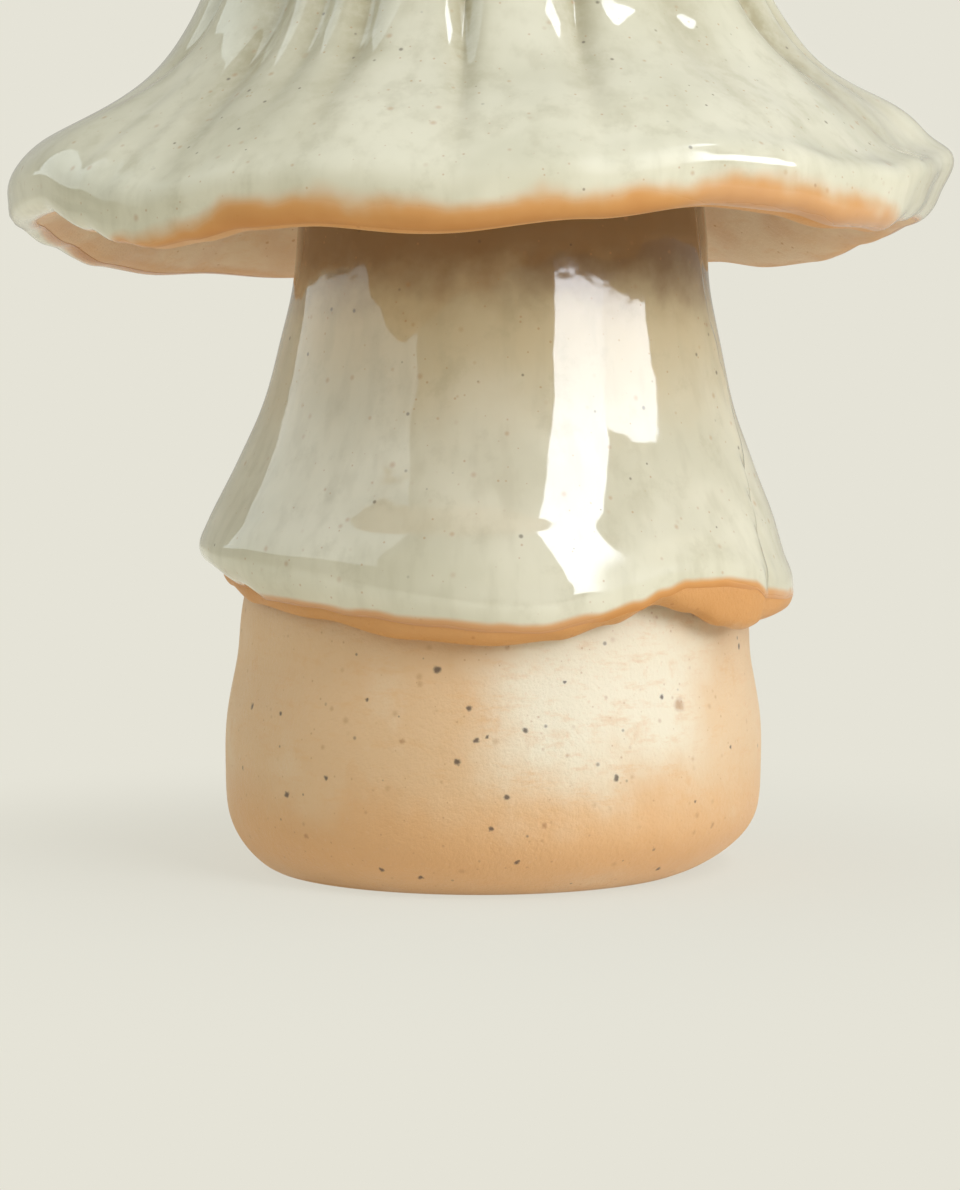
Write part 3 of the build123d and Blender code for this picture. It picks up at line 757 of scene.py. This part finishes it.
def vector_calc(tree, operation, first, second, output=0):
    return add(tree, "VectorMath", {0: first, 1: second}, operation=operation).outputs[output]


def stretched(tree, vector, amounts):
    return vector_calc(tree, "MULTIPLY", vector, amounts)


def tinted(tree, base, mask, strength, colour):
    """Colour over a base where a mask shows it, through a strength."""
    return mixed(tree, calc(tree, "MULTIPLY", mask, strength), base, colour)


def cloud(tree, vector, size, detail=3.0, roughness=0.5):
    """Soft noise whose patches are about a size in millimetres."""
    inputs = {"Vector": vector, "Scale": 1 / (size * MM), "Detail": detail, "Roughness": roughness}
    return add(tree, "TexNoise", inputs).outputs["Fac"]


def clouded(tree, base, noise, levels, strength, colour):
    """Colour over a base where a noise lies above two levels, up to a strength."""
    return mixed(tree, eased(tree, noise, *levels, 0.0, strength), base, colour)


def wander(tree, vector, size, reach, *noise):
    """Noise that moves a level to and fro, through a reach in all."""
    return calc(tree, "MULTIPLY_ADD", cloud(tree, vector, size, *noise), reach, -0.5 * reach)


def jittered(tree, vector, reach):
    """Places moved to and fro by less than a reach in millimetres, so that round marks come out uneven."""
    moved = add(tree, "TexNoise", {"Vector": vector, "Scale": 1 / (reach * MM)}).outputs["Color"]
    moved = vector_calc(tree, "SUBTRACT", moved, (0.5, 0.5, 0.5))
    return vector_calc(tree, "ADD", vector, stretched(tree, moved, (reach * MM, reach * MM, reach * MM)))


def raised(tree, where, levels, shift, share=1.0):
    """Share that is reached between two levels in millimetres, which a shift moves up and down."""
    height = add(tree, "SeparateXYZ", {"Vector": where}).outputs["Z"]
    low, high = (level * MM for level in levels)
    return eased(tree, calc(tree, "ADD", height, shift), low, high, 0.0, share)


def specks(tree, vector, spacing, size, share, soft):
    """Round specks, up to a size across in millimetres, in a share of cells a spacing apart."""
    cells = add(tree, "TexVoronoi", {"Vector": vector, "Scale": 1 / (spacing * MM)})
    parts = add(tree, "SeparateColor", {"Color": cells.outputs["Color"]})
    present = calc(tree, "LESS_THAN", parts.outputs[0], share)
    radius = eased(tree, parts.outputs[1], 0, 1, 0.25 * size / spacing, 0.5 * size / spacing)
    ratio = calc(tree, "DIVIDE", cells.outputs["Distance"], radius)
    return calc(tree, "MULTIPLY", present, eased(tree, ratio, 1 - soft, 1, 1, 0))


def marks(tree, vector, points, soft):
    """Specks at chosen points, each with its place in metres and its size across in millimetres."""
    shade = None
    for point, size in points:
        away = vector_calc(tree, "DISTANCE", vector, point, "Value")
        radius = size / 2 * MM
        spot = eased(tree, away, radius * (1 - soft), radius * (1 + soft / 2), 1, 0)
        shade = spot if shade is None else calc(tree, "MAXIMUM", shade, spot)
    return shade


def attribute(tree, name):
    return add(tree, "Attribute", attribute_name=name).outputs["Fac"]


def cleared(owner):
    """Empty node tree of a material or world."""
    owner.use_nodes = True
    owner.node_tree.nodes.clear()
    return owner.node_tree


def new_material(name):
    """Material with its empty node tree and the place of each point of the surface."""
    material = bpy.data.materials.new(name)
    tree = cleared(material)
    return material, tree, place(tree)


def finish_material(tree, inputs, height, depth):
    """Shader with its inputs, over a bump whose height of 1 is a depth in millimetres."""
    bump = add(tree, "Bump", {"Height": height, "Distance": depth * MM, "Strength": 1.0})
    shader = add(tree, "BsdfPrincipled", {**inputs, "Normal": bump.outputs["Normal"]})
    add(tree, "OutputMaterial", {"Surface": shader.outputs["BSDF"]})


def on_face(grid, marked):
    """Marks given as angle, height and size, put on the nearest points of an outer face."""
    found = []
    for angle, height, size in marked:
        column = int(round((angle + 180) / 360 * column_count)) % column_count
        row = int(np.abs(grid[:, column, 2] - height).argmin())
        found.append((tuple(float(v) for v in grid[row, column] * MM), size))
    return found


# Colours
glaze_colour = (0.615, 0.572, 0.422)
pale_glaze_colour = (0.70, 0.652, 0.497)
warm_and_shaded_glaze_colour = (0.61, 0.50, 0.31)
# Warm tint of the stem below its brown top: partly the glaze's own, partly painted shade under the brim
pooled_colour = (0.38, 0.33, 0.20)
# Brown of the stem's top under the brim: partly iron in thin glaze, partly painted shade
iron_and_shade_glaze_colour = (0.20, 0.10, 0.036)
break_colour = (0.60, 0.28, 0.08)
deep_break_colour = (0.46, 0.18, 0.045)
speck_colour = (0.07, 0.045, 0.035)
rust_colour = (0.42, 0.20, 0.08)
peach_clay_colour = (0.70, 0.46, 0.25)
# Pale clay, used both for painted light on the lit side of the bulb and for random paler patches
pale_and_lit_clay_colour = (0.77, 0.68, 0.51)
toasted_colour = (0.68, 0.38, 0.165)
brim_clay_colour = (0.70, 0.46, 0.28)
pale_brim_colour = (0.76, 0.56, 0.37)

# Scattered iron specks: spacing and size in millimetres, share of places, softness, strength, colour
speck_rows = [
    (1.7, 0.8, 0.6, 0.9, 0.40, rust_colour),
    (0.8, 0.3, 0.5, 0.7, 0.45, rust_colour),
    (1.9, 0.5, 0.5, 0.7, 0.60, speck_colour),
]

# Gloss: refraction, roughness and relief in millimetres of the glaze and of the bare clay
glaze_refraction = 1.75
glaze_roughness = 0.05
thin_glaze_roughness = 0.30
satin_roughness = 0.19
full_specular = 0.5
satin_specular = 0.08
glaze_relief = 0.02
clay_refraction = 1.45
clay_relief = 0.10


def glaze_base(tree, where, warm_and_shade_levels):
    """Colour of the pale glaze: warmer between two levels, partly its own tint and partly painted shade under
    the brim, mottled, streaked down the wall, and darker in the furrows and along the seam.
    """
    base = mixed(tree, eased(tree, cloud(tree, where, 9.0), 0.35, 0.65), glaze_colour, pale_glaze_colour)
    if warm_and_shade_levels:
        # Warmer band on the stem: partly the glaze's own tint, partly painted shade of the brim
        warm_and_shade = raised(tree, where, warm_and_shade_levels, wander(tree, where, 6.0, 8 * MM, 4.0))
        base = mixed(tree, warm_and_shade, base, warm_and_shaded_glaze_colour)
    streaks = cloud(tree, stretched(tree, where, (1.0, 1.0, 0.25)), 1.8, 3.0)
    base = clouded(tree, base, streaks, (0.45, 0.75), 0.22, pooled_colour)
    blotches = cloud(tree, where, 3.2, 5.0, 0.65)
    base = clouded(tree, base, blotches, (0.52, 0.72), 0.22, pooled_colour)
    ragged = eased(tree, cloud(tree, where, 1.6, 4.0, 0.6), 0.25, 0.65, 0.55, 1.0)
    return tinted(tree, base, attribute(tree, "pool"), ragged, pooled_colour)


def iron_specks(tree, where, base, chosen, chosen_rust):
    """Iron specks in a colour: scattered ones, then the chosen ones, rust brown and dark."""
    for *pattern, strength, colour in speck_rows:
        base = tinted(tree, base, specks(tree, where, *pattern), strength, colour)
    uneven = jittered(tree, where, 0.5)
    base = tinted(tree, base, marks(tree, uneven, chosen_rust, 0.8), 0.7, rust_colour)
    return tinted(tree, base, marks(tree, uneven, chosen, 0.6), 0.85, speck_colour)


def glaze_material(name, band_width, warm_and_shade_levels, iron_and_shade_levels, chosen, chosen_rust):
    """Glossy pale glaze that turns orange where it thins out at its end, and brown high up, partly iron in
    the glaze and partly painted shade under the brim.
    """
    material, tree, where = new_material(name)
    base = glaze_base(tree, where, warm_and_shade_levels)
    if iron_and_shade_levels:
        # Brown band high on the stem: partly iron where the glaze thins near the joint, partly painted shade
        # under the brim
        browned_and_shaded = raised(tree, where, iron_and_shade_levels, wander(tree, where, 3.0, 4 * MM, 4.0), 0.95)
        base = mixed(tree, browned_and_shaded, base, iron_and_shade_glaze_colour)
    base = iron_specks(tree, where, base, chosen, chosen_rust)
    left = calc(tree, "ADD", attribute(tree, "left"), wander(tree, where, 4.0, band_width, 2.0))
    base = mixed(tree, eased(tree, left, band_width * 0.55, band_width * 1.35, 0.95, 0.0), base, break_colour)
    base = mixed(tree, eased(tree, left, 0.0, band_width * 0.8, 0.6, 0.0), base, deep_break_colour)
    satin = attribute(tree, "satin")
    rough = eased(tree, left, 0.0, band_width, thin_glaze_roughness, glaze_roughness)
    rough = calc(tree, "MULTIPLY_ADD", satin, satin_roughness, rough)
    specular = eased(tree, satin, 0.0, 1.0, full_specular, satin_specular)
    pits = specks(tree, where, 1.4, 0.22, 0.3, 0.8)
    waves = calc(tree, "MULTIPLY_ADD", cloud(tree, where, 2.6, 2.0), 0.9, calc(tree, "MULTIPLY", pits, -0.35))
    inputs = {"Base Color": base, "IOR": glaze_refraction, "Roughness": rough, "Specular IOR Level": specular}
    finish_material(tree, inputs, waves, glaze_relief)
    return material


def clay_base(tree, where, base, toast):
    """Colour of bare stoneware, toasted by a share, brushed and grogged."""
    base = mixed(tree, toast, base, toasted_colour)
    brushed = cloud(tree, stretched(tree, where, (0.3, 0.3, 1.0)), 0.9, 5.0, 0.7)
    base = clouded(tree, base, brushed, (0.50, 0.72), 0.40, toasted_colour)
    smudges = cloud(tree, where, 3.5, 4.0, 0.65)
    base = clouded(tree, base, smudges, (0.55, 0.72), 0.40, toasted_colour)
    grog = cloud(tree, where, 0.30, 3.0, 0.6)
    return clouded(tree, base, grog, (0.58, 0.75), 0.35, brim_clay_colour)


def clay_finish(tree, where, base, roughness):
    """Shader of bare stoneware, a little rougher and smoother in patches, with a grain."""
    rough = eased(tree, cloud(tree, where, 5.0), 0.3, 0.7, roughness - 0.08, roughness + 0.08)
    grain = calc(tree, "MULTIPLY_ADD", cloud(tree, where, 2.5, 3.0), 1.5, cloud(tree, where, 0.35, 5.0, 0.7))
    inputs = {"Base Color": base, "IOR": clay_refraction, "Roughness": rough}
    finish_material(tree, inputs, grain, clay_relief)


def bulb_material(chosen, chosen_rust):
    """Bare peach stoneware: paler right of the middle as painted light where the lamps fall, and toasted
    orange low down, less so at the very bottom as painted light.
    """
    material, tree, where = new_material("bare_peach_stoneware")
    axes = add(tree, "SeparateXYZ", {"Vector": where}).outputs
    shift = wander(tree, where, 10.0, 12 * MM, 4.0, 0.6)
    height = calc(tree, "ADD", axes["Z"], shift)
    side = calc(tree, "ADD", axes["X"], shift)
    low = eased(tree, height, 4 * MM, 10 * MM, 0.9, 0.0)
    # Painted light: less toasting at the very bottom, lightening the floor's shade under the heel
    low = calc(tree, "MULTIPLY", low, eased(tree, axes["Z"], 0, 3 * MM, 0.3, 1.0))
    # Painted light: paler right of the middle where the key lamp falls, less so towards the right edge and on
    # the lower bulb; the random patches added next are the clay's own paler tone
    pale = calc(tree, "MULTIPLY", eased(tree, side, -3 * MM, 5 * MM), eased(tree, height, 7 * MM, 13 * MM))
    pale = calc(tree, "MULTIPLY", pale, eased(tree, side, 13 * MM, 20 * MM, 1, 0.2))
    patches = eased(tree, cloud(tree, where, 7.0, 4.0, 0.6), 0.50, 0.72, 0.0, 0.45)
    pale = calc(tree, "MAXIMUM", pale, patches)
    base = mixed(tree, pale, peach_clay_colour, pale_and_lit_clay_colour)
    base = clay_base(tree, where, base, low)
    base = iron_specks(tree, where, base, chosen, chosen_rust)
    clay_finish(tree, where, base, 0.42)
    return material


def lip_material(name, colour, pale, band_width):
    """Bare clay that is toasted orange brown next to the glaze."""
    material, tree, where = new_material(name)
    shift = wander(tree, where, 2.5, 0.8 * band_width, 4.0)
    passed = calc(tree, "ADD", attribute(tree, "passed"), shift)
    base = mixed(tree, eased(tree, cloud(tree, where, 6.0, 3.0), 0.38, 0.62), colour, pale)
    base = clay_base(tree, where, base, 0.15)
    toast = calc(tree, "MULTIPLY", eased(tree, passed, band_width * 0.4, band_width, 0.95, 0.0),
                 attribute(tree, "toast"))
    base = mixed(tree, toast, base, break_colour)
    base = tinted(tree, base, specks(tree, where, 1.1, 0.45, 0.5, 0.5), 0.55, deep_break_colour)
    clay_finish(tree, where, base, 0.5)
    return material


def slip_material():
    material, tree, where = new_material("fired_slip")
    base = clay_base(tree, where, brim_clay_colour, 0.2)
    clay_finish(tree, where, base, 0.7)
    return material


# Camera: the photograph's place, tilt and framing
camera_place = (-1.17 * MM, -250 * MM, 37.9 * MM)
camera_tilt = 86.452
camera_lens = 90.756
camera_film = 36
camera_near = 10 * MM
camera_data = bpy.data.cameras.new("camera")
camera_data.sensor_fit = "VERTICAL"
camera_data.sensor_height = camera_film
camera_data.lens = camera_lens
camera_data.clip_start = camera_near
camera = put_in("camera", camera_data)
camera.location = camera_place
camera.rotation_euler = (math.radians(camera_tilt), 0, 0)
bpy.context.scene.camera = camera
bpy.context.scene.view_settings.view_transform = "Standard"

# Background, floor and lamps
background_colour = (0.785, 0.768, 0.680)
floor_colour = (0.70, 0.685, 0.61)
bounce_colour = (0.60, 0.575, 0.50)
window_colour = (0.94, 1.0, 1.09)
side_colour = (0.88, 1.0, 1.04)
floor_glow = 0.42
floor_size = 6.0
# Distances over which the floor runs into the background, and how much of that it has at once
floor_fade = (20 * MM, 80 * MM)
floor_fade_start = 0.75
# Strength of the room in front of the object, behind it and added overhead, and the directions, as
# parts of +Y and +Z, over which it turns from one to the other
room_front, room_back, room_top = 0.22, 0.60, 0.10
room_turn = (-0.3, 0.8)
room_rise = (0.5, 1.0)
# Upright lamps, at one distance and aimed at one height: azimuths, elevations, radiance and colour
panel_distance = 500 * MM
panel_target = 40 * MM
panels = {
    "window": ((26, 56), (9, 57), 6.3, window_colour),
    "window_corner": ((56, 82), (9, 25), 5.4, window_colour),
    "side_panel": ((-130, -45), (10, 63), 1.0, side_colour),
    "skylight": ((40, 90), (59, 69), 5.0, window_colour),
}


def show_camera(tree, output, others, camera_only):
    """One shader for the camera's own rays, and another one for the rest."""
    seen = add(tree, "LightPath").outputs["Is Camera Ray"]
    picked = add(tree, "MixShader", {0: seen, 1: others, 2: camera_only}).outputs[0]
    add(tree, output, {"Surface": picked})


def make_world():
    """Room that is brighter behind the object, and shows the plain background to the camera."""
    world = bpy.data.worlds.new("studio")
    bpy.context.scene.world = world
    tree = cleared(world)
    direction = add(tree, "TexCoord").outputs["Generated"]
    axes = add(tree, "SeparateXYZ", {"Vector": direction}).outputs
    strength = eased(tree, axes["Y"], *room_turn, room_front, room_back)
    strength = calc(tree, "ADD", strength, eased(tree, axes["Z"], *room_rise, 0.0, room_top))
    colour = (*background_colour, 1)
    room = add(tree, "Background", {"Color": colour, "Strength": strength}).outputs[0]
    shown = add(tree, "Background", {"Color": colour, "Strength": 1.0}).outputs[0]
    show_camera(tree, "OutputWorld", room, shown)


def make_floor():
    """Pale floor that keeps the shadow near the object and runs into the background further off."""
    half = floor_size / 2
    corners = [(-half, -half, 0), (half, -half, 0), (half, half, 0), (-half, half, 0)]
    mesh = bpy.data.meshes.new("floor")
    mesh.from_pydata(corners, [], [(0, 1, 2, 3)])
    floor = put_in("floor", mesh)
    material = bpy.data.materials.new("pale_floor")
    tree = cleared(material)
    away = add(tree, "VectorMath", {0: place(tree)}, operation="LENGTH").outputs["Value"]
    colour = (*background_colour, 1)
    lit = add(tree, "BsdfDiffuse", {"Color": (*floor_colour, 1)}).outputs[0]
    flat = add(tree, "Emission", {"Color": colour, "Strength": 1.0}).outputs[0]
    far = eased(tree, away, *floor_fade, floor_fade_start, 1.0)
    shown = add(tree, "MixShader", {0: far, 1: lit, 2: flat}).outputs[0]
    bounce = add(tree, "BsdfDiffuse", {"Color": (*bounce_colour, 1)}).outputs[0]
    glow = add(tree, "Emission", {"Color": colour, "Strength": floor_glow}).outputs[0]
    bounce = add(tree, "AddShader", {0: bounce, 1: glow}).outputs[0]
    show_camera(tree, "OutputMaterial", bounce, shown)
    mesh.materials.append(material)


def make_panel(name, azimuths, elevations, radiance, colour):
    """Upright soft lamp that fills a range of azimuths and elevations, seen from the object."""
    turn = math.radians(sum(azimuths) / 2)
    low, high = (panel_distance * math.tan(math.radians(rise)) for rise in elevations)
    lamp = bpy.data.lights.new(name, "AREA")
    lamp.shape = "RECTANGLE"
    lamp.color = colour
    lamp.size = 2 * panel_distance * math.tan(math.radians(azimuths[1] - azimuths[0]) / 2)
    lamp.size_y = high - low
    lamp.energy = radiance * math.pi * lamp.size * lamp.size_y
    made = put_in(name, lamp)
    height = (low + high) / 2 + panel_target
    made.location = (panel_distance * math.sin(turn), -panel_distance * math.cos(turn), height)
    made.rotation_euler = (math.radians(90), 0, turn)


make_world()
make_floor()
for panel_name, panel in panels.items():
    make_panel(panel_name, *panel)

# Specks that stand out: angle round the axis, height and size across
stem_marks = [
    (-33, 32.0, 0.4), (4, 44.0, 0.35), (-9, 33.0, 0.45), (60, 34.5, 0.35), (55, 46.0, 0.35),
    (-26, 27.0, 0.35), (-48, 30.0, 0.35), (26, 36.0, 0.3), (35, 30.0, 0.35), (-18, 44.0, 0.3),
    (66, 30.0, 0.4), (14, 29.0, 0.3), (68, 27.5, 0.45), (44, 27.0, 0.3), (-40, 38.0, 0.3),
]
stem_rust_marks = [
    (-17, 32.0, 0.7), (5, 26.0, 0.6), (-21, 38.0, 0.6), (5, 23.8, 0.6), (3, 42.5, 0.6), (-6, 35.0, 0.5),
    (40, 32.0, 0.5), (-30, 35.5, 0.5), (48, 38.0, 0.5),
]
bulb_marks = [
    (-12, 18.0, 0.65), (-5, 15.0, 0.45), (-7.5, 11.0, 0.6), (-3.5, 12.8, 0.5), (-1.5, 13.0, 0.35),
    (6, 13.3, 0.5), (2, 8.2, 0.5), (25, 9.6, 0.5), (37, 15.5, 0.4), (-1, 5.8, 0.4), (-24, 2.2, 0.5),
    (-15, 1.6, 0.45), (5, 3.2, 0.45), (-47, 7.6, 0.6), (-36, 9.4, 0.4), (-62, 14.2, 0.6), (-50, 14.0, 0.35),
    (-65, 9.0, 0.4), (42, 1.6, 0.5), (68, 18.8, 0.5), (14, 17.0, 0.3), (-27, 15.5, 0.3), (45, 7.0, 0.3),
    (58, 11.0, 0.35),
]
bulb_rust_marks = [(41, 14.8, 1.1), (-19, 12.5, 0.5), (10, 6.0, 0.5), (52, 5.0, 0.5), (-42, 4.5, 0.5)]
cap_marks = [
    (-42, 55.4, 0.8), (18, 59.5, 0.45), (22, 55.0, 0.5), (-16, 61.0, 0.45), (-30, 57.5, 0.3),
    (35, 65.5, 0.45), (-55, 58.0, 0.35), (8, 57.5, 0.3),
]
cap_rust_marks = [(-40, 59.0, 0.8), (-30, 64.0, 1.0), (7, 58.2, 0.6), (30, 60.0, 0.5), (-5, 60.0, 0.5)]

# Pieces
cap_face, cap_lip = cap_faces()
clay_grid = cap_clay(cap_face, cap_lip)
ways = way_down(clay_grid)
passed = np.maximum(ways - ways[len(cap_face) - 1] - glaze_reach, 0)
toast = np.broadcast_to(around(toast_shares), passed.shape)
coat_grid, coat_left = cap_coat(cap_face, cap_lip)
# Where the clay is toasted more, the glaze above it breaks further up
coat_break = coat_left / np.maximum(around(toast_shares), least_toast)
stem_clay_face = stem_face()
skirt_grid = skirt_clay(stem_clay_face)
skirt_ways = way_down(skirt_grid)
skirt_passed = np.maximum(skirt_ways - skirt_ways[len(stem_clay_face)], 0)
stem_over, stem_back, stem_left = coat_over(stem_clay_face, way_down(stem_clay_face)[-1], coat_count)
stem_grid = np.concatenate([stem_over, stem_back])
bulb_grid = bulb_clay()
bulb_face = bulb_grid[bulb_face_rows]

make_piece("cap_clay", clay_grid, "cap_shell",
           lip_material("bare_brim_stoneware", brim_clay_colour, pale_brim_colour, 3.0),
           {"passed": passed, "toast": toast})
make_piece("cap_glaze_coat", coat_grid, "cap_glaze",
           glaze_material("cap_celadon_glaze", 2.4, None, None, on_face(cap_face, cap_marks),
                          on_face(cap_face, cap_rust_marks)),
           {"left": coat_break, "pool": furrow_pool(coat_grid),
            "satin": satin_at(coat_left, cap_satin_reach, cap_satin_fade, cap_satin_shares)})
make_piece("skirt_clay", skirt_grid, "stem_sleeve",
           lip_material("bare_skirt_stoneware", brim_clay_colour, pale_brim_colour, 6.0),
           {"passed": skirt_passed, "toast": np.ones(skirt_passed.shape)})
# The stem's warm and brown bands high up are partly the glaze's own colour and partly painted shade under the
# brim
make_piece("stem_glaze_coat", stem_grid, "stem_glaze",
           glaze_material("stem_celadon_glaze", 0.7, (33, 46), (44, 51), on_face(stem_clay_face, stem_marks),
                          on_face(stem_clay_face, stem_rust_marks)),
           {"left": stem_left, "pool": seam_dark_line(stem_grid),
            "satin": satin_at(stem_left, stem_satin_reach, stem_satin_fade, stem_satin_shares)})
make_piece("foot_bulb_clay", bulb_grid, "foot_bulb",
           bulb_material(on_face(bulb_face, bulb_marks), on_face(bulb_face, bulb_rust_marks)),
           poles=True)

slip = slip_material()
for node in ("cap_joint_slip", "neck_joint_slip"):
    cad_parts[node].data.materials.clear()
    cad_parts[node].data.materials.append(slip)
